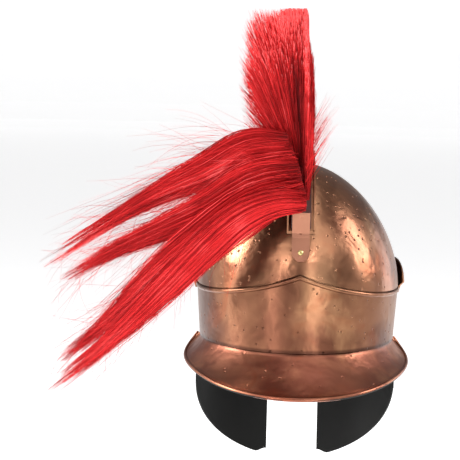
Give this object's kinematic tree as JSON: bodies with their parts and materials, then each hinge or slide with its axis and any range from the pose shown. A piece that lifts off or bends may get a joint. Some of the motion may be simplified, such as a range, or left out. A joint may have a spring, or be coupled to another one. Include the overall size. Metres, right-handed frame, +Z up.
{
  "type": "greek helmet",
  "caption": "Open-faced copper helmet with a flared neck guard, hinged cheek guards and a red horsehair crest with a long tail, for costume, display or a costumed figure.",
  "frame": {"origin": "centre of the neck opening, level with the band's lower edge, where the helmet is held as a head holds it", "axes": "+Z up, the face opening faces +Y, the neck guard faces -Y, +X to the wearer's right seen from behind"},
  "size_m": [0.3579, 0.2837, 0.4664],
  "materials": {
    "antique_copper": "antique copper plating on steel, worn and pitted",
    "dark_copper": "darker, browner copper plating",
    "black_paint": "matt black paint on the inner face, copper outside",
    "brass": "plain brass",
    "crest_block": "stained dark red",
    "red_horsehair": "dyed horsehair"
  },
  "bodies": {
    "shell": {"skull": "antique_copper", "neck_band": "antique_copper", "neck_guard": "dark_copper", "frontlet": "antique_copper", "hinge_leaf_left": "dark_copper", "hinge_leaf_right": "dark_copper", "hinge_pin_left": "brass", "hinge_pin_right": "brass", "crest_rail": "antique_copper", "crest_base": "crest_block", "rear_clip": "antique_copper", "rear_clip_rivet": "brass", "front_clip": "antique_copper", "front_clip_rivet": "brass", "crest_brush": "red_horsehair", "crest_tail": "red_horsehair"},
    "left_cheek": {"cheek_guard_left": "black_paint"},
    "right_cheek": {"cheek_guard_right": "black_paint"}
  },
  "joints": [
    {"name": "left_cheek_hinge", "type": "hinge", "parent": "shell", "child": "left_cheek", "pos_m": [-0.0796, 0.06625, 0.036], "axis": [0.5379, 0.843, 0], "range_deg": [0, 45]},
    {"name": "right_cheek_hinge", "type": "hinge", "parent": "shell", "child": "right_cheek", "pos_m": [0.0796, 0.06625, 0.036], "axis": [0.5379, -0.843, 0], "range_deg": [0, 45]}
  ]
}
